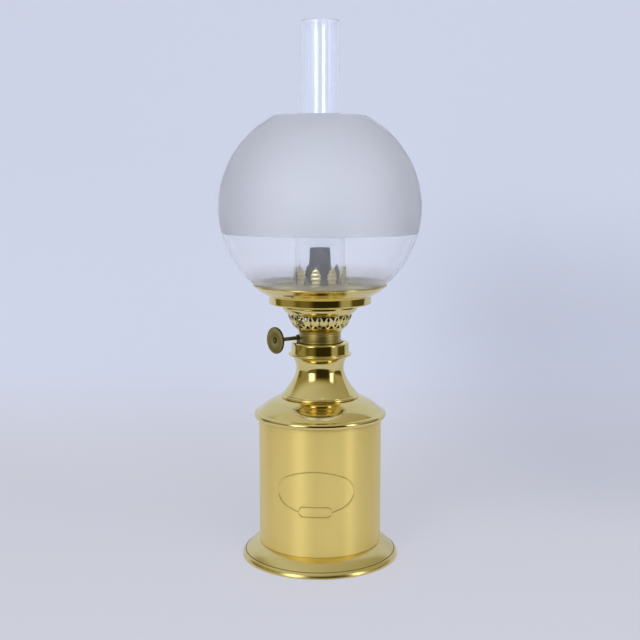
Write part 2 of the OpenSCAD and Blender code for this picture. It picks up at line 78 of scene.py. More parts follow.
# Radii of the lamp's stations
TANK_R = 42.0
FOOT_R = 53.9
BEAD_MID_R = 43.1
BEAD_R = 2.3
NECK_FOOT_R = 26.8
NECK_HOLE_R = 21.8
WAIST_R = 16.3
NECK_TOP_R = 18.95
COLLAR_R = 19.75
FLANGE_R = 21.6
RECESS_R = 16.0
COLLAR_BORE_R = 13.65
BURNER_R = 14.2
BURNER_WALL = 0.9
BURNER_BEAD = 0.55
SCREW_R = 13.6
BASKET_R = 21.9
CUP_R = 25.8
LEDGE_R = 15.1
HOLDER_R = 34.8
DISH_R = 45.8
DISH_RIM_R = 0.65
CROWN_R = 17.2
CHIMNEY_R = 16.9
CHIMNEY_TOP_R = 12.85
GLOBE_R = 68.1


# Outlines: lists of (radius, height) points in millimetres

def arc(centre, radius, start, end, steps=12):
    """Points on a circle, from one angle to another in degrees."""
    turns = [math.radians(start + (end - start) * i / steps) for i in range(steps + 1)]
    return [(centre[0] + radius * math.cos(t), centre[1] + radius * math.sin(t)) for t in turns]


def bow(start, end, bulge, steps=16):
    """Points on an arc that bulges to the right of the way from start to end."""
    start, end = Vector(start), Vector(end)
    half = (end - start).length / 2
    along = (end - start).normalized()
    right = Vector((along.y, -along.x))
    radius = (half * half + bulge * bulge) / (2 * bulge)
    centre = (start + end) / 2 + (bulge - radius) * right
    reach = math.asin(half / radius)
    turns = [reach * (2 * i / steps - 1) for i in range(steps + 1)]
    return [tuple(centre + radius * (math.cos(t) * right + math.sin(t) * along)) for t in turns]


def flare(base_r, end_r, z_start, rise, power, steps=16):
    """Points on a wall whose radius grows as a power of the way along it."""
    ways = [i / steps for i in range(1, steps + 1)]
    return [(base_r + (end_r - base_r) * s ** power, z_start + rise * s) for s in ways]


def walled(outline, thickness):
    """Closes an outside outline into a wall, thickened to its left."""
    inner = []
    last = len(outline) - 1
    for i, point in enumerate(outline):
        step = Vector(outline[min(i + 1, last)]) - Vector(outline[max(i - 1, 0)])
        step.normalize()
        inner.append((point[0] - thickness * step.y, point[1] + thickness * step.x))
    return outline + inner[::-1] + outline[:1]


# Modelling

def start_piece(name):
    """Names the new primitive and opens it in edit mode."""
    piece = bpy.context.object
    piece.name = name
    bpy.ops.object.mode_set(mode="EDIT")
    return piece


def finish_piece(piece, crease=CREASE):
    """Closes a piece: joins its seams, turns its faces outwards and smooths it."""
    bpy.ops.object.mode_set(mode="EDIT")
    bpy.ops.mesh.select_all(action="SELECT")
    bpy.ops.mesh.remove_doubles(threshold=MM / 1000)
    bpy.ops.mesh.normals_make_consistent(inside=False)
    bpy.ops.object.mode_set(mode="OBJECT")
    bpy.ops.object.shade_smooth_by_angle(angle=math.radians(crease))
    return piece


def spun(name, outline, steps=ROUND):
    """Draws an outline from a single point and spins it round the lamp's axis."""
    bpy.ops.object.select_all(action="DESELECT")
    bpy.ops.mesh.primitive_plane_add(size=MM)
    piece = start_piece(name)
    bpy.ops.mesh.merge(type="CENTER")
    here = Vector((0, 0, 0))
    for i, (radius, height) in enumerate(outline):
        there = Vector((radius * MM, 0, height * MM))
        if i == 0:
            bpy.ops.transform.translate(value=there - here)
        else:
            bpy.ops.mesh.extrude_vertices_move(TRANSFORM_OT_translate={"value": there - here})
        here = there
    bpy.ops.mesh.select_all(action="SELECT")
    bpy.ops.mesh.spin(steps=steps, angle=math.tau, center=(0, 0, 0), axis=(0, 0, 1))
    return finish_piece(piece)


def joined(name, pieces):
    """Makes one object of several, named for the whole."""
    bpy.ops.object.select_all(action="DESELECT")
    for piece in pieces:
        piece.select_set(True)
    bpy.context.view_layer.objects.active = pieces[0]
    bpy.ops.object.join()
    pieces[0].name = name
    return pieces[0]


def cut(piece, cutter, crease=CREASE):
    """Takes a cutter's shape out of a piece and removes the cutter."""
    modifier = piece.modifiers.new("cut", "BOOLEAN")
    modifier.operation = "DIFFERENCE"
    modifier.solver = "EXACT"
    modifier.object = cutter
    bpy.ops.object.select_all(action="DESELECT")
    piece.select_set(True)
    bpy.context.view_layer.objects.active = piece
    bpy.ops.object.modifier_apply(modifier=modifier.name)
    bpy.data.objects.remove(cutter)
    bpy.ops.object.shade_smooth_by_angle(angle=math.radians(crease))
    return piece


def darkened(piece, share):
    """Gives every face of a piece its share of painted shade, from its middle and normal in millimetres."""
    mark = piece.data.attributes.new("painted_shade", "FLOAT", "FACE")
    for face, value in zip(piece.data.polygons, mark.data):
        value.value = share(face.center / MM, face.normal)
    return piece


def facing_axis(middle, normal):
    """Painted shade on the faces that look in towards the lamp's axis, inside the basket."""
    outwards = Vector((middle.x, middle.y, 0)).normalized()
    return 1.0 if normal.dot(outwards) < -0.2 else 0.0


def foot_crease(middle, normal):
    """Painted shade in the line that is rolled into the foot above its rim."""
    return 0.7 if 3.7 < middle.z < 4.2 else 0.0


def line_top(middle, normal):
    """Painted shade on the upper side of a raised line."""
    return 0.5 if normal.z > 0.2 else 0.0


def knob_edges(middle, normal):
    """Painted shade on the knob's rivet and edge, while the knob still lies flat on the axis."""
    return 0.0 if 1.8 < middle.xy.length < KNOB_R - 0.5 else 0.8


def foot_outline():
    rim_h, rim_lean, rim_bulge, crease = 3.8, 1.9, 0.5, 0.4
    ring_w, skirt_bulge, ledge_w = 3.0, 0.9, 5.0
    rim_top_r = FOOT_R - rim_lean
    return walled(
        [(FOOT_R - ring_w, 0.0)]
        + bow((FOOT_R, 0.0), (rim_top_r, rim_h), rim_bulge, 8)
        + bow((rim_top_r - crease, rim_h), (TANK_R + SHEET / 2, Z_TANK), skirt_bulge, 32)
        + [(TANK_R - ledge_w, Z_TANK)],
        SHEET,
    )


def shoulder_outline():
    wall_gap, dome_over, dome_bulge = 0.05, 1.3, 1.1
    return walled(
        [(TANK_R + wall_gap, Z_BEAD - BEAD_R)]
        + arc((BEAD_MID_R, Z_BEAD), BEAD_R, -90, 85, 32)
        + bow((BEAD_MID_R - SHEET / 2, Z_DOME), (NECK_FOOT_R + dome_over, Z_NECK), dome_bulge, 32)
        + [(NECK_HOLE_R, Z_NECK)],
        SHEET,
    )


def neck_outline():
    lip = 1.0
    sweep_power, top_power = 1.61, 2.4
    sweep_r = NECK_FOOT_R - SHEET
    below = Z_WAIST - Z_NECK - 2 * lip
    above = Z_COLLAR - Z_WAIST - SHEET
    return walled(
        [(NECK_HOLE_R, Z_NECK)]
        + arc((NECK_FOOT_R - lip, Z_NECK + lip), lip, -90, 90, 16)
        + flare(WAIST_R, sweep_r, Z_WAIST, -below, sweep_power, 40)[-2::-1]
        + [(WAIST_R, Z_WAIST)]
        + flare(WAIST_R, NECK_TOP_R, Z_WAIST, above, top_power, 24)
        + [(NECK_TOP_R, Z_COLLAR)],
        SHEET,
    )


def collar_outline():
    flange, edge = 0.7, 1.4
    fillet, recess_edge = 0.3, 0.25
    outline = (
        [(COLLAR_BORE_R, Z_COLLAR)]
        + arc((FLANGE_R - flange, Z_COLLAR + flange), flange, -90, 90, 14)
        + arc((COLLAR_R + fillet, Z_COLLAR + 2 * flange + fillet), fillet, 270, 180, 6)
        + arc((COLLAR_R - edge, Z_COLLAR_TOP - edge), edge, 0, 90, 14)
        + arc((RECESS_R + recess_edge, Z_COLLAR_TOP - recess_edge), recess_edge, 90, 180, 4)
        + [(RECESS_R, Z_RECESS), (COLLAR_BORE_R, Z_RECESS)]
    )
    return outline + outline[:1]


def burner_outline():
    screw_in = SCREW_R - BURNER_WALL
    band_in = BURNER_R - BURNER_WALL
    screw_foot = Z_BURNER - 5.6
    flange, ring, groove = 0.5, 0.3, 0.16
    ring_z, groove_top = Z_BAND_TOP - 1.2, Z_BAND_TOP - 0.1
    outline = (
        [(screw_in, screw_foot), (SCREW_R, screw_foot), (SCREW_R, Z_BURNER)]
        + arc((BURNER_R + flange, Z_BURNER + flange), flange, -90, 90, 12)
        + [(BURNER_R, Z_BAND), (BURNER_R, ring_z - ring)]
        + arc((BURNER_R - groove, ring_z), ring, -60, 60, 8)
        + [(BURNER_R - groove, Z_BAND_TOP - BURNER_BEAD), (BURNER_R - groove, groove_top)]
        + arc((BURNER_R, Z_BAND_TOP + BURNER_BEAD), BURNER_BEAD, -90, 90, 12)
        + [(band_in, Z_BASKET), (band_in, Z_BAND), (screw_in, Z_BURNER)]
    )
    return outline + outline[:1]


def cup_outline():
    edge, lap, bulge = 2.2, 1.5, 0.25
    return walled(
        [(BASKET_R - lap, Z_CUP)]
        + bow((BASKET_R, Z_CUP), (CUP_R - edge / 2, Z_LEDGE - 2 * edge), bulge, 16)
        + arc((CUP_R - edge, Z_LEDGE - edge), edge, -30, 90, 14)
        + [(LEDGE_R, Z_LEDGE)],
        SHEET,
    )


def holder_outline():
    corner, crown_gap, dish_bulge = 0.9, 0.3, 0.5
    dish_end = (DISH_R - DISH_RIM_R, Z_RIM - DISH_RIM_R)
    return walled(
        [(CROWN_R + CROWN_SHEET + crown_gap, Z_LEDGE)]
        + arc((HOLDER_R - corner, Z_LEDGE + corner), corner, -90, 0, 12)
        + bow((HOLDER_R, Z_DISH), dish_end, dish_bulge, 20),
        SHEET,
    )


def holder_rim_outline():
    """Closed ring of the dish's rolled rim, on the end of its sheet."""
    end = Vector((DISH_R - DISH_RIM_R, Z_RIM - DISH_RIM_R))
    way = (end - Vector((HOLDER_R, Z_DISH))).normalized()
    centre = end + SHEET / 2 * Vector((-way.y, way.x))
    return arc(centre, DISH_RIM_R, 0, 360, 20)


def chimney_outline():
    foot_h, step_h, height, wall = 50.0, 13.0, 186.3, 1.2
    apart = 0.01
    z_step = Z_CHIMNEY + foot_h
    steps = 28
    shoulder = []
    for i in range(steps + 1):
        s = i / steps
        swing = (1 + math.cos(math.pi * s)) / 2
        shoulder.append((CHIMNEY_TOP_R + (CHIMNEY_R - CHIMNEY_TOP_R) * swing, z_step + s * step_h))
    half = wall / 2
    top = Z_CHIMNEY + height - half
    foot = Z_CHIMNEY + half
    outside = [(CHIMNEY_R, foot + apart)] + shoulder + [(CHIMNEY_TOP_R, top - apart)]
    inside = [(r - wall, z) for r, z in outside[::-1]]
    outline = (
        outside
        + arc((CHIMNEY_TOP_R - half, top), half, 0, 180, 10)
        + inside
        + arc((CHIMNEY_R - half, foot), half, 180, 360, 10)
    )
    return outline + outline[:1]


def globe_outline():
    wall = 2.0
    foot_r, mouth_r = 40.0, 30.0
    low = -math.degrees(math.acos(foot_r / GLOBE_R))
    high = math.degrees(math.acos(mouth_r / GLOBE_R))
    lean = math.degrees(math.asin(wall / 2 / GLOBE_R))
    middle = GLOBE_R - wall / 2

    def lip(angle, start, end):
        t = math.radians(angle)
        centre = (middle * math.cos(t), Z_GLOBE + middle * math.sin(t))
        return arc(centre, wall / 2, start, end, 8)[1:-1]

    outline = (
        arc((0, Z_GLOBE), GLOBE_R, low + lean, high - lean, 96)
        + lip(high - lean, high - lean, high - lean + 180)
        + arc((0, Z_GLOBE), GLOBE_R - wall, high - lean, low + lean, 96)
        + lip(low + lean, low + lean + 180, low + lean + 360)
    )
    return outline + outline[:1]


# Raised oval on the tank: a rounded line that follows the wall

OVAL_W, OVAL_H, OVAL_END_R, OVAL_Z = 51.2, 29.6, 11.6, 43.8
OVAL_TURN = -4.5
LINE_W, LINE_LIFT = 0.9, 0.05
TAB_W, TAB_H, TAB_DROP, TAB_CUT = 22.0, 7.6, 1.8, 1.6


def oval_path(steps=96):
    """Points of the four-arc oval, from one side of the tab frame round to the other."""
    end_r = OVAL_END_R - LINE_W / 2
    width, height = OVAL_W - LINE_W, OVAL_H - LINE_W
    end_x = width / 2 - end_r
    flank_r = (end_x ** 2 + height ** 2 / 4 - end_r ** 2) / (height - 2 * end_r)
    flank_y = height / 2 - flank_r
    meet = math.degrees(math.atan2(-flank_y, end_x))
    quarter = steps // 4
    upper = (
        arc((end_x, 0), end_r, 0, meet, quarter)
        + arc((0, flank_y), flank_r, meet, 180 - meet, 2 * quarter)[1:]
        + arc((-end_x, 0), end_r, 180 - meet, 180, quarter)[1:]
    )
    lower = [(-x, -y) for x, y in upper[1:-1]]
    stop = (TAB_W - LINE_W) / 2
    return [p for p in lower if p[0] > stop] + upper + [p for p in lower if p[0] < -stop]


def tab_path(steps=10):
    """Points of the small frame under the oval."""
    x, y, c = (TAB_W - LINE_W) / 2, (TAB_H - LINE_W) / 2, TAB_CUT
    drop = TAB_H / 2 - OVAL_H / 2 - TAB_DROP
    corners = [
        (c - x, -y), (x - c, -y), (x, c - y), (x, y - c),
        (x - c, y), (c - x, y), (-x, y - c), (-x, c - y),
    ]
    path = []
    for (ax, ay), (bx, by) in zip(corners, corners[1:] + corners[:1]):
        ways = [i / steps for i in range(steps)]
        path += [(ax + (bx - ax) * w, ay + (by - ay) * w + drop) for w in ways]
    return path


def on_wall(point, radius):
    """Place on the tank of a point drawn flat in front of it."""
    x, y = point
    turned = math.radians(OVAL_TURN)
    depth = -math.sqrt(radius ** 2 - x ** 2)
    place = Vector((x, depth, Z_TANK + OVAL_Z + y))
    return Matrix.Rotation(turned, 3, "Z") @ place


def raised_line(name, path, closed):
    """Ridge with a round back along a path on the tank's wall."""
    bpy.ops.object.select_all(action="DESELECT")
    bpy.ops.curve.primitive_bezier_curve_add()
    line = bpy.context.object
    line.name = name
    line.data.splines.clear()
    spline = line.data.splines.new("POLY")
    spline.points.add(len(path) - 1)
    for point, flat in zip(spline.points, path):
        point.co = (*(on_wall(flat, TANK_R + LINE_LIFT) * MM), 1)
    spline.use_cyclic_u = closed
    line.data.bevel_depth = LINE_W / 2 * MM
    line.data.bevel_resolution = 3
    bpy.ops.object.convert(target="MESH")
    # The raised line's upper side gets a painted shade.
    return darkened(finish_piece(bpy.context.object, crease=60), line_top)


def tank_wall_piece():
    edge = 0.25
    foot = Z_TANK + 0.05
    wall = (
        arc((TANK_R - edge, foot + edge), edge, -90, 0, 5)
        + [(TANK_R, Z_TANK_TOP), (TANK_R - SHEET, Z_TANK_TOP), (TANK_R - SHEET, foot)]
    )
    return spun("tank_shell", wall + wall[:1])


# Basket: a spun shell with its figures cut through

FIGURES = 22
BASKET_TURN = -1.0
EYE_W, EYE_H, EYE_Z = 1.9, 3.2, 9.7
POINT_W, POINT_H, POINT_HOLLOW, POINT_Z = 2.2, 1.9, 0.2, 4.3
GAP_W, GAP_H, GAP_HOLLOW, GAP_Z = 3.3, 3.5, 0.3, 8.2
FOOT_GAP_W, FOOT_GAP_H, FOOT_GAP_HOLLOW, FOOT_GAP_Z = 3.1, 2.3, 0.25, 5.6
DOT_R, DOT_Z = 0.5, 7.15
BAR_START, BAR_L = 8.0, 20.0


def almond(width, height):
    """Pointed oval about the middle."""
    side = bow((0, -height / 2), (0, height / 2), width / 2, 8)
    return side + [(-x, y) for x, y in side[-2:0:-1]]


def wedge(width, height, hollow):
    """Point at the bottom, or at the top where the height is negative, with sides bowed in."""
    side = bow((0, 0), (width / 2, abs(height)), hollow, 6)
    way = math.copysign(1, height)
    return [(x, way * y) for x, y in side + [(-x, y) for x, y in side[:0:-1]]]


def bar(path, z, turn):
    """Bar of a flat outline that runs out from the axis, turned about it."""
    bpy.ops.object.select_all(action="DESELECT")
    bpy.ops.mesh.primitive_circle_add(vertices=len(path), radius=MM, fill_type="NGON")
    piece = bpy.context.object
    for vertex, (x, y) in zip(piece.data.vertices, path):
        vertex.co = Vector((x, -BAR_START, z + y)) * MM
    bpy.ops.object.mode_set(mode="EDIT")
    bpy.ops.mesh.select_all(action="SELECT")
    bpy.ops.mesh.extrude_region_move(TRANSFORM_OT_translate={"value": (0, -BAR_L * MM, 0)})
    bpy.ops.mesh.select_all(action="SELECT")
    bpy.ops.mesh.normals_make_consistent(inside=False)
    bpy.ops.object.mode_set(mode="OBJECT")
    piece.data.transform(Matrix.Rotation(math.radians(turn), 4, "Z"))
    return piece


def basket_piece():
    bulge = 1.2
    shell = spun("basket_shell", walled(
        [(BURNER_R - BURNER_WALL, Z_BASKET)]
        + bow((BURNER_R + BURNER_BEAD, Z_BASKET), (BASKET_R, Z_CUP - BASKET_SHEET), bulge, 16)
        + [(BASKET_R, Z_CUP)],
        BASKET_SHEET,
    ), steps=8 * FIGURES)
    cutters = []
    for i in range(FIGURES):
        turn = 360 / FIGURES * i + BASKET_TURN
        half = turn + 180 / FIGURES
        cutters.append(bar(almond(EYE_W, EYE_H), Z_BASKET + EYE_Z, turn))
        cutters.append(bar(arc((0, 0), DOT_R, 0, 330, 11), Z_BASKET + DOT_Z, turn))
        cutters.append(bar(wedge(POINT_W, POINT_H, POINT_HOLLOW), Z_BASKET + POINT_Z, turn))
        cutters.append(bar(wedge(GAP_W, GAP_H, GAP_HOLLOW), Z_BASKET + GAP_Z, half))
        foot_gap = wedge(FOOT_GAP_W, -FOOT_GAP_H, FOOT_GAP_HOLLOW)
        cutters.append(bar(foot_gap, Z_BASKET + FOOT_GAP_Z, half))
    # The basket's inward faces get a painted shade, so its openings look dark.
    return darkened(cut(shell, joined("basket_cutters", cutters), crease=30), facing_axis)


# Chimney crown: a ring with leaf-shaped fingers, each with ribs across it

FINGERS = 10
FINGER_H, FINGER_W, FINGER_WAIST = 13.3, 7.6, 4.6
FINGER_SHEET, FINGER_TIP = 0.45, 0.12
CROWN_TURN = 27.0
RIBS, RIB_RISE, LOBE_CUT = 5, 0.22, 0.35


def finger_half_width(s):
    """Half of a finger's width, s of the way from its waist to its point."""
    leaf = FINGER_WAIST / 2 * (1 - s) + (FINGER_W - FINGER_WAIST / 2) / 2 * math.sin(math.pi * s ** 1.3)
    lobes = LOBE_CUT * (math.cos(2 * math.pi * RIBS * s) - 1) * (1 - abs(2 * s - 1) ** 3)
    return max(leaf + lobes, FINGER_TIP)


def finger_piece(turn):
    """Sheet bent to the ring's radius, narrowed to a leaf and ribbed."""
    across, rows = 8, 40
    bpy.ops.object.select_all(action="DESELECT")
    bpy.ops.mesh.primitive_grid_add(x_subdivisions=across, y_subdivisions=rows, size=2)
    finger = bpy.context.object
    radius = CROWN_R + CROWN_SHEET
    for vertex in finger.data.vertices:
        u, s = vertex.co.x, (vertex.co.y + 1) / 2
        start = math.sin(math.pi * min(s * 4, 0.5))
        rib = RIB_RISE * math.cos(2 * math.pi * RIBS * s) * (1 - u * u) * start
        angle = math.radians(turn - 90) + u * finger_half_width(s) / radius
        lean = radius - CROWN_SHEET * 0.1 + rib * 0.5 - 0.1
        height = Z_CROWN_RING + s * FINGER_H
        vertex.co = Vector((lean * math.cos(angle), lean * math.sin(angle), height)) * MM
    bpy.ops.object.mode_set(mode="EDIT")
    bpy.ops.mesh.select_all(action="SELECT")
    bpy.ops.mesh.normals_make_consistent(inside=False)
    bpy.ops.object.mode_set(mode="OBJECT")
    thick = finger.modifiers.new("sheet", "SOLIDIFY")
    thick.thickness = FINGER_SHEET * MM
    thick.offset = 0
    bpy.ops.object.modifier_apply(modifier=thick.name)
    return finger


def crown_piece():
    outer_r, lap = CROWN_R + CROWN_SHEET, 0.2
    ring = spun("crown_ring", walled(
        [(outer_r, Z_LEDGE), (outer_r, Z_CROWN_RING + lap)], CROWN_SHEET,
    ), SMALL_ROUND)
    fingers = [finger_piece(CROWN_TURN + 360 / FINGERS * i) for i in range(FINGERS)]
    crown = joined("chimney_springs", [ring] + fingers)
    bpy.ops.object.shade_smooth_by_angle(angle=math.radians(40))
    return crown


# Wick and knob

WICK_R, WICK_T = 6.15, 1.45
WICK_TAIL, WICK_TOP = 26.4, 212.5
SPINDLE_TURN = 50.0
SPINDLE_OFF, SPINDLE_Z = 9.54184, 151.6
KNOB_R, KNOB_T, SPINDLE_L = 9.0, 1.3, 31.6


def wick_piece():
    inner = WICK_R - WICK_T
    soft = 0.45
    outline = (
        [(inner, WICK_TAIL), (WICK_R, WICK_TAIL)]
        + arc((WICK_R - soft, WICK_TOP - soft), soft, 0, 90, 6)
        + arc((inner + soft, WICK_TOP - soft), soft, 90, 180, 6)
    )
    tube = spun("wick_braid", outline + outline[:1], SMALL_ROUND)
    slot_l, slot_w, slot_foot, slot_top = 10.0, 5.5, 20.0, 180.0
    bpy.ops.object.select_all(action="DESELECT")
    bpy.ops.mesh.primitive_cube_add(size=MM)
    slot = start_piece("slot")
    bpy.ops.transform.resize(value=(slot_l, slot_w, slot_top - slot_foot))
    bpy.ops.transform.translate(value=(slot_l / 2 * MM, 0, (slot_top + slot_foot) / 2 * MM))
    bpy.ops.object.mode_set(mode="OBJECT")
    slot.data.transform(Matrix.Rotation(math.radians(-SPINDLE_TURN), 4, "Z"))
    return cut(tube, slot)


def knob_piece():
    """Disc with rounded edges and a shallow dished face, set on the spindle's end."""
    bore, edge = 0.83, 0.35
    hub_r, hub_foot_r, border, dish_border = 2.2, 2.6, 1.1, 1.4
    hub_top, dish_foot, dish_edge = KNOB_T - 0.02, KNOB_T - 0.18, KNOB_T - 0.12
    rivet_r, rivet_bulge, rivet_foot, rivet_top = 1.7, 0.2, KNOB_T + 0.05, KNOB_T + 0.7
    outline = (
        [(bore, 0), (KNOB_R - edge, 0)]
        + arc((KNOB_R - edge, edge), edge, -90, 0, 5)
        + arc((KNOB_R - edge, KNOB_T - edge), edge, 0, 90, 5)
        + [(KNOB_R - border, KNOB_T), (KNOB_R - dish_border, dish_edge)]
        + [(hub_foot_r, dish_foot), (hub_r, hub_top), (bore, hub_top)]
    )
    rivet = (
        [(0, rivet_foot), (rivet_r, rivet_foot)]
        + bow((rivet_r, rivet_foot), (0, rivet_top), rivet_bulge, 8)[1:]
    )
    knob = joined("knob_disc", [
        spun("knob_plate", outline + outline[:1], SMALL_ROUND),
        spun("knob_rivet", rivet + rivet[:1], SMALL_ROUND),
    ])
    # The knob's rivet and rim get a painted shade.
    darkened(knob, knob_edges)
    turn = Matrix.Rotation(math.radians(-SPINDLE_TURN), 4, "Z")
    shift = Matrix.Translation(Vector((-SPINDLE_OFF, 0, SPINDLE_Z)) * MM)
    lie = Matrix.Rotation(math.radians(90), 4, "X")
    out = Matrix.Translation(Vector((0, 0, SPINDLE_L - KNOB_T)) * MM)
    knob.data.transform(turn @ shift @ lie @ out)
    return knob


# Materials

class Value:
    """A shader socket that takes part in Python sums."""

    def __init__(self, finish, socket):
        self.finish = finish
        self.socket = socket

    def __add__(self, other):
        return self.finish.math("ADD", self, other)

    def __sub__(self, other):
        return self.finish.math("SUBTRACT", self, other)

    def __mul__(self, other):
        return self.finish.math("MULTIPLY", self, other)

    def __pow__(self, other):
        return self.finish.math("POWER", self, other)

    def __radd__(self, other):
        return self.finish.math("ADD", other, self)

    def __rsub__(self, other):
        return self.finish.math("SUBTRACT", other, self)

    def __rmul__(self, other):
        return self.finish.math("MULTIPLY", other, self)

    def between(self, low, high):
        """Smooth step from 0 at low to 1 at high."""
        settings = {"interpolation_type": "SMOOTHSTEP"}
        return self.finish.node("ShaderNodeMapRange", settings, {"Value": self, 1: low, 2: high})


class Finish:
    """A node tree under construction: a material's or the world's."""

    def __init__(self, owner):
        owner.use_nodes = True
        self.owner = owner
        self.tree = owner.node_tree
        self.tree.nodes.clear()

    def node(self, kind, settings=None, sockets=None, output=0):
        """Adds a node, sets it up, then fills its sockets with values or links."""
        node = self.tree.nodes.new(kind)
        for name, setting in (settings or {}).items():
            setattr(node, name, setting)
        for name, value in (sockets or {}).items():
            if isinstance(value, Value):
                self.tree.links.new(value.socket, node.inputs[name])
            else:
                node.inputs[name].default_value = value
        return Value(self, node.outputs[output]) if node.outputs else None

    def math(self, operation, *values):
        return self.node("ShaderNodeMath", {"operation": operation}, dict(enumerate(values)))

    def rays(self, *kinds):
        """1 where the ray is of one of these kinds."""
        path = self.node("ShaderNodeLightPath").socket.node.outputs
        return self.math("MINIMUM", sum(Value(self, path["Is " + kind + " Ray"]) for kind in kinds), 1.0)

    def place(self):
        """The piece's own coordinates, in metres."""
        return self.node("ShaderNodeTexCoord", output="Object")

    def axes(self, vector):
        parts = self.node("ShaderNodeSeparateXYZ", sockets={"Vector": vector})
        outputs = parts.socket.node.outputs
        return [Value(self, outputs[i]) for i in range(3)]

    def noise(self, vector, scale, detail=3.0, roughness=0.5):
        sockets = {"Vector": vector, "Scale": scale, "Detail": detail, "Roughness": roughness}
        return self.node("ShaderNodeTexNoise", sockets=sockets)

    def blend(self, factor, first, second):
        """Colour between two colours."""
        return self.node("ShaderNodeMix", {"data_type": "RGBA"}, {0: factor, 6: first, 7: second}, output=2)

    def bump(self, height, distance, strength=1.0):
        sockets = {"Height": height, "Distance": distance, "Strength": strength}
        return self.node("ShaderNodeBump", sockets=sockets)

    def surface(self, sockets):
        """Ends a material in a Principled shader."""
        shader = self.node("ShaderNodeBsdfPrincipled", sockets=sockets)
        self.node("ShaderNodeOutputMaterial", sockets={"Surface": shader})
        return self.owner


def material(name):
    return Finish(bpy.data.materials.new(name))


def rgb(red, green, blue):
    """Linear colour of an sRGB one written in 0 to 255."""
    def linear(c):
        c /= 255
        return c / 12.92 if c <= 0.04045 else ((c + 0.055) / 1.055) ** 2.4
    return (linear(red), linear(green), linear(blue), 1.0)


def brass(
    name, tint, tarnish, gloss, spread, rings,
    coat=0.15, tarnish_share=0.25, metal=1.0, turned_share=0.0,
):
    """Spun brass: clouds of tarnish, fine rings from the lathe and a lacquer coat.

    The roughness runs from the gloss up by the spread. A per-face attribute blends in a painted shade,
    darker and rougher.
    A turned share draws highlights out across the rings.
    """
    f = material(name)
    place = f.place()
    x, y, z = f.axes(place)
    radius = (x * x + y * y) ** 0.5
    turned = f.node("ShaderNodeCombineXYZ", sockets={0: radius, 1: z})
    cloud = f.noise(place, 38.0, 4.0, 0.6)
    fine = f.noise(turned, 2600.0, 2.0)
    wear = cloud.between(0.45, 0.8) * tarnish_share
    # Per-face painted shade set by darkened(): a darker colour and a rougher surface.
    painted_shade = f.node("ShaderNodeAttribute", {"attribute_name": "painted_shade"}, output="Fac")
    return f.surface({
        "Base Color": f.blend(painted_shade, f.blend(wear, tint, tarnish), PAINTED_SHADE_COLOUR),
        "Metallic": metal,
        "Roughness": gloss + cloud * spread + painted_shade * 0.4,
        "Normal": f.bump(fine, rings),
        "Coat Weight": coat,
        "Coat Roughness": 0.1,
        "Anisotropic": turned_share,
        "Anisotropic Rotation": 0.25,
    })


BRASS = (0.84, 0.70, 0.28, 1.0)
BRASS_WORN = (0.66, 0.50, 0.16, 1.0)
SATIN = (0.92, 0.73, 0.245, 1.0)
BAND = (0.60, 0.49, 0.17, 1.0)
AGED = (0.44, 0.37, 0.12, 1.0)
AGED_DARK = (0.24, 0.20, 0.07, 1.0)
PALE = (0.86, 0.74, 0.29, 1.0)
# Dark brown that the per-face painted shade blends towards.
PAINTED_SHADE_COLOUR = (0.045, 0.03, 0.008, 1.0)
DULL = (0.68, 0.60, 0.32, 1.0)

polished = brass("polished_brass", BRASS, BRASS_WORN, gloss=0.07, spread=0.08, rings=2e-7)
satin = brass(
    "satin_brass", SATIN, BRASS_WORN, gloss=0.40, spread=0.06, rings=1e-6,
    coat=0.08, tarnish_share=0.1, metal=0.5, turned_share=0.9,
)
softened = brass("softened_brass", BRASS, BRASS_WORN, gloss=0.18, spread=0.14, rings=4e-7)
pale = brass("pale_brass", PALE, BRASS_WORN, gloss=0.14, spread=0.12, rings=5e-7)
dulled = brass("dulled_brass", DULL, BRASS_WORN, gloss=0.32, spread=0.12, rings=1e-6, coat=0.1, metal=0.8)
aged = brass("aged_brass", AGED, AGED_DARK, gloss=0.28, spread=0.2, rings=1e-6, tarnish_share=0.8)
band = brass("band_brass", BAND, AGED, gloss=0.28, spread=0.2, rings=1e-6, tarnish_share=0.8)


def dark_steel(name, tint, worn, rough, metallic):
    """Blackened or heat-dulled metal with a mottled skin."""
    f = material(name)
    place = f.place()
    patch = f.noise(place, 140.0, 5.0, 0.6)
    grain = f.noise(place, 2200.0, 2.0)
    return f.surface({
        "Base Color": f.blend(patch.between(0.4, 0.75), tint, worn),
        "Metallic": metallic,
        "Roughness": rough + patch * 0.2,
        "Normal": f.bump(grain, 4e-6),
    })


black_steel = dark_steel(
    "black_steel", (0.15, 0.155, 0.09, 1), (0.22, 0.19, 0.09, 1), rough=0.32, metallic=0.9,
)
grey_metal = dark_steel(
    "grey_metal", (0.17, 0.17, 0.18, 1), (0.115, 0.11, 0.115, 1), rough=0.5, metallic=0.55,
)
sooty = dark_steel(
    "sooty_metal", (0.02, 0.018, 0.012, 1), (0.05, 0.04, 0.025, 1), rough=0.5, metallic=0.5,
)


def fibre_washer():
    f = material("fibre")
    grain = f.noise(f.place(), 900.0, 4.0)
    return f.surface({
        "Base Color": f.blend(grain, (0.012, 0.010, 0.008, 1), (0.035, 0.028, 0.02, 1)),
        "Roughness": 0.75 + grain * 0.2,
        "Normal": f.bump(grain, 4e-5),
    })


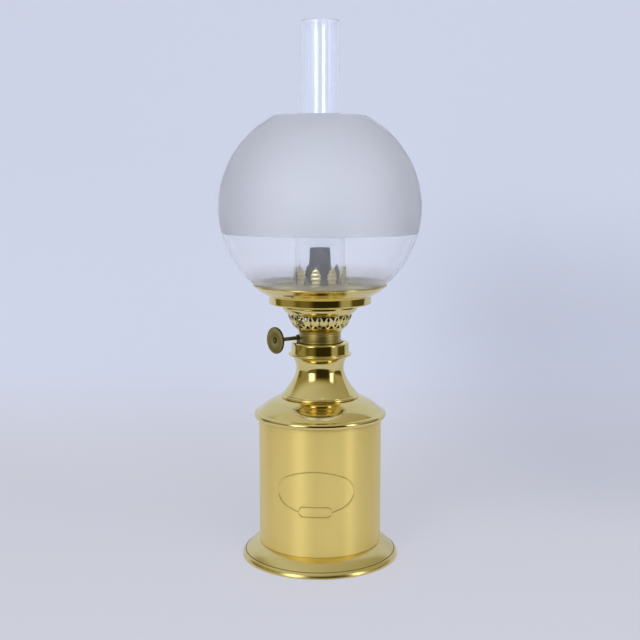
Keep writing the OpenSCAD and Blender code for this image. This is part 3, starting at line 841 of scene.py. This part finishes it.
def wick_cotton():
    """Braided cotton, charred at its edge."""
    f = material("wick_cotton")
    place = f.place()
    x, y, z = f.axes(place)
    turn = f.math("ARCTAN2", y, x) * 24.0
    weave = f.math("SINE", turn + z * 4200.0) * f.math("SINE", turn - z * 4200.0)
    lint = f.noise(place, 1500.0, 3.0)
    char = (z + (lint - 0.5) * 0.0012).between((WICK_TOP - 2.4) * MM, (WICK_TOP - 0.4) * MM)
    cloth = f.blend(weave * 0.3 + 0.4 + (lint - 0.5) * 0.3, (0.50, 0.46, 0.38, 1), (0.80, 0.77, 0.68, 1))
    return f.surface({
        "Base Color": f.blend(char * 0.85, cloth, (0.05, 0.045, 0.04, 1)),
        "Roughness": 0.92,
        "Normal": f.bump(weave + lint * 0.6, 1.2e-4),
    })


GLASS_IOR = 1.47


def clear_glass():
    f = material("clear_glass")
    smear = f.noise(f.place(), 45.0, 3.0)
    return f.surface({
        "Base Color": (0.97, 0.985, 0.985, 1),
        "Roughness": smear.between(0.55, 0.85) * 0.03,
        "IOR": GLASS_IOR,
        "Transmission Weight": 1.0,
    })


def globe_glass():
    """Clear below its line, etched above it, ground at its foot with a haze just above."""
    f = material("frosted_glass")
    place = f.place()
    z = f.axes(place)[2]
    grain = f.noise(place, 1800.0, 2.0)
    edge = 0.3
    frost = (z + (grain - 0.5) * 0.0004).between((Z_FROST - edge) * MM, (Z_FROST + edge) * MM)
    foot = 1.0 - z.between((Z_GLOBE_FOOT + 1.6) * MM, (Z_GLOBE_FOOT + 3.0) * MM)
    haze = (1.0 - z.between((Z_GLOBE_FOOT + 1.0) * MM, (Z_GLOBE_FOOT + 15.0) * MM)) * 0.46
    bare = f.node("ShaderNodeBsdfPrincipled", sockets={
        "Base Color": (0.985, 0.98, 0.965, 1), "Roughness": 0.0, "IOR": GLASS_IOR,
        "Transmission Weight": 0.97,
    })
    etched = f.node("ShaderNodeBsdfPrincipled", sockets={
        "Base Color": (0.985, 0.99, 1.0, 1), "Roughness": 0.42 + grain * 0.1, "IOR": GLASS_IOR,
        "Transmission Weight": 0.86,
    })
    ground = f.node("ShaderNodeBsdfPrincipled", sockets={
        "Base Color": (0.97, 0.96, 0.88, 1), "Roughness": 0.6, "IOR": GLASS_IOR,
        "Transmission Weight": 0.4,
    })
    both = f.node("ShaderNodeMixShader", sockets={0: frost, 1: bare, 2: etched})
    whole = f.node("ShaderNodeMixShader", sockets={
        0: f.math("MAXIMUM", foot, haze), 1: both, 2: ground,
    })
    f.node("ShaderNodeOutputMaterial", sockets={"Surface": whole})
    return f.owner


# Pieces, each with the body that it moves with, its finish and the node that it stands for

def dress(piece, body, finish, node):
    piece.data.materials.clear()
    piece.data.materials.append(finish)
    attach(piece, body)
    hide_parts(node)


tank = joined("tank_shell", [
    tank_wall_piece(),
    raised_line("oval_line", oval_path(), False),
    raised_line("tab_line", tab_path(), True),
])
# The foot's rolled crease gets a painted shade.
foot = darkened(spun("foot_skirt", foot_outline()), foot_crease)
dress(foot, "font", softened, "foot")
dress(tank, "font", satin, "tank_wall")
dress(spun("shoulder_dome", shoulder_outline()), "font", polished, "shoulder")
dress(spun("waisted_neck", neck_outline()), "font", polished, "neck")
dress(spun("screw_collar", collar_outline()), "font", polished, "collar")
dress(spun("burner_band", burner_outline()), "burner", band, "burner_base")
dress(basket_piece(), "burner", pale, "basket")
dress(spun("gallery_bowl", cup_outline()), "burner", polished, "gallery_cup")
holder = joined("globe_dish", [spun("dish", holder_outline()), spun("dish_rim", holder_rim_outline())])
dress(holder, "burner", polished, "globe_holder")
dress(crown_piece(), "burner", dulled, "chimney_crown")
dress(knob_piece(), "raiser", aged, "wick_knob")
dress(wick_piece(), "wick", wick_cotton(), "wick")
dress(spun("ball_globe", globe_outline()), "globe", globe_glass(), "globe")
dress(spun("lamp_chimney", chimney_outline()), "chimney", clear_glass(), "chimney")

CARRIED = {
    "tank_bottom": aged,
    "collar_washer": fibre_washer(),
    "burner_plate": sooty,
    "wick_tube": grey_metal,
    "air_tube": grey_metal,
    "spindle_gland": black_steel,
    "spindle_bearing": aged,
    "spindle": black_steel,
    "spindle_collar": aged,
    "star_wheels": aged,
}
for node, finish in CARRIED.items():
    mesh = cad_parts[node].data
    mesh.materials.clear()
    mesh.materials.append(finish)


# Camera, stage and light

CAMERA_PLACE = (0, -0.7095, 0.2581)
CAMERA_TILT = math.radians(82.427)
bpy.ops.object.camera_add(location=CAMERA_PLACE, rotation=(CAMERA_TILT, 0, 0))
camera = bpy.context.object
camera.data.sensor_width = 36.0
camera.data.lens = 59.05
bpy.context.scene.camera = camera
bpy.context.scene.view_settings.view_transform = "Standard"

PAPER = rgb(205, 211, 231)
# Darker paper colour of the painted shadow on the backdrop.
PAINTED_SHADOW_COLOUR = rgb(160, 165, 185)
FLOOR = rgb(202, 204, 217)
PAPER_THROUGH = rgb(217, 224, 251)
FLOOR_THROUGH = rgb(215, 217, 230)
DIM_ROOM = (1.0, 0.84, 0.25, 1.0)


def backdrop_paper():
    """Backdrop paper: partly its own colour to camera, metal and glass, partly lit; clear from behind. It
    carries a soft painted shadow of the lamp to its right.
    """
    f = material("backdrop_paper")
    x, y, z = f.axes(f.place())
    # Painted shadow of the lamp on the paper, to the right of it and behind it.
    shade = x.between(0.03, 0.24) * y.between(0.0, 0.25) * (1.0 - z.between(0.1, 0.27)) * 0.35
    tint = f.blend(shade, f.blend(z.between(0.0, 0.08), FLOOR, PAPER), PAINTED_SHADOW_COLOUR)
    through = f.blend(z.between(0.0, 0.08), FLOOR_THROUGH, PAPER_THROUGH)
    lit = f.node("ShaderNodeBsdfDiffuse", sockets={"Color": tint})
    own = f.node("ShaderNodeEmission", sockets={
        "Color": f.blend(f.rays("Transmission"), tint, through), "Strength": 1.2,
    })
    seen = f.rays("Camera", "Glossy", "Transmission") * 0.6
    both = f.node("ShaderNodeMixShader", sockets={0: seen, 1: lit, 2: own})
    behind = f.node("ShaderNodeNewGeometry", output="Backfacing")
    clear = f.node("ShaderNodeBsdfTransparent", sockets={"Color": (1, 1, 1, 1)})
    whole = f.node("ShaderNodeMixShader", sockets={0: behind, 1: both, 2: clear})
    f.node("ShaderNodeOutputMaterial", sockets={"Surface": whole})
    return f.owner


def stage_sheet():
    """Sheet of backdrop paper: a floor that curves up into a wall."""
    width, front, back, height, sweep = 1.4, -0.31, 0.44, 1.6, 0.3
    bpy.ops.object.select_all(action="DESELECT")
    bpy.ops.mesh.primitive_plane_add(size=1)
    sheet = start_piece("backdrop")
    bpy.ops.transform.resize(value=(width, back - front, 1))
    bpy.ops.transform.translate(value=(0, (back + front) / 2, 0))
    bpy.ops.mesh.select_all(action="DESELECT")
    bpy.ops.object.mode_set(mode="OBJECT")
    for edge in sheet.data.edges:
        edge.select = all(sheet.data.vertices[v].co.y > back - 0.01 for v in edge.vertices)
    bpy.ops.object.mode_set(mode="EDIT")
    bpy.ops.mesh.select_mode(type="EDGE")
    bpy.ops.mesh.extrude_region_move(TRANSFORM_OT_translate={"value": (0, 0, height)})
    bpy.ops.object.mode_set(mode="OBJECT")
    for edge in sheet.data.edges:
        ends = [sheet.data.vertices[v].co for v in edge.vertices]
        edge.select = all(c.y > back - 0.01 and c.z < 0.01 for c in ends)
    bpy.ops.object.mode_set(mode="EDIT")
    bpy.ops.mesh.bevel(offset=sweep, segments=24, profile=0.5)
    bpy.ops.object.mode_set(mode="OBJECT")
    bpy.ops.object.shade_smooth()
    sheet.data.materials.append(backdrop_paper())


stage_sheet()


def softbox(name, azimuth, elevation, distance, size, glow):
    """Soft lamp, aimed at the lamp's middle; azimuth runs from the front to the right."""
    a, e = math.radians(azimuth), math.radians(elevation)
    aim = Vector((0, 0, 0.17))
    place = aim + distance * Vector((math.sin(a) * math.cos(e), -math.cos(a) * math.cos(e), math.sin(e)))
    bpy.ops.object.light_add(type="AREA", location=place)
    light = bpy.context.object
    light.name = name
    light.rotation_euler = (place - aim).to_track_quat("Z", "Y").to_euler()
    light.data.shape = "RECTANGLE"
    light.data.size, light.data.size_y = size
    light.data.energy = glow * math.pi * size[0] * size[1]
    light.visible_camera = False
    light.visible_glossy = False


softbox("softbox_left", -24, 18, 1.1, (0.35, 0.45), 6.8)
softbox("softbox_right", 24, 25, 1.1, (0.6, 1.0), 2.2)


def studio_world():
    """Dark room with bright panels at the sides and a pale ceiling; camera and glass see pale paper."""
    f = Finish(bpy.data.worlds.new("studio"))
    bpy.context.scene.world = f.owner
    x, y, up = f.axes(f.node("ShaderNodeTexCoord", output="Generated"))
    side = f.math("ARCTAN2", x, 0.0 - y) * math.degrees(1)

    def panel(low, high, soft):
        """1 between two directions, counted in degrees from the front to the right."""
        return side.between(low - soft, low + soft) * (1.0 - side.between(high - soft, high + soft))

    raised = up.between(0.04, 0.12)
    low = 1.0 - up.between(0.5, 0.65)
    lower = 1.0 - up.between(0.2, 0.36)
    high = up.between(0.42, 0.75)
    dim = up.between(0.1, 0.4) * 0.2
    walls = (
        0.025
        + panel(-180, -118, 8) * (0.55 - dim)
        + panel(-118, -56, 10) * 0.27
        + panel(-50, -20, 10) * 0.14
        + panel(46, 74, 5) * (0.36 - dim)
        + panel(74, 120, 5) * (0.06 + up.between(0.1, 0.26) * 0.3)
        + panel(120, 180, 5) * (0.45 - dim)
    )
    ceiling = 0.5 - x * 0.14
    gaps = panel(-120, -98, 5) * 0.6 * lower
    strips = (panel(-51, -28, 10) * 2.5 + panel(51, 64, 6) * 2.7) * raised * low
    glow = (walls * (1.0 - high) + ceiling * high) * (1.0 - gaps * 0.9) + strips
    warm = f.blend(glow.between(0.1, 0.6), DIM_ROOM, (1, 1, 1, 1))
    room = f.node("ShaderNodeVectorMath", {"operation": "SCALE"}, {0: warm, "Scale": glow})
    shown = f.blend(f.rays("Transmission"), f.blend(f.rays("Camera"), room, PAPER), PAPER_THROUGH)
    light = f.node("ShaderNodeBackground", sockets={"Color": shown, "Strength": 1.0})
    f.node("ShaderNodeOutputWorld", sockets={"Surface": light})


studio_world()
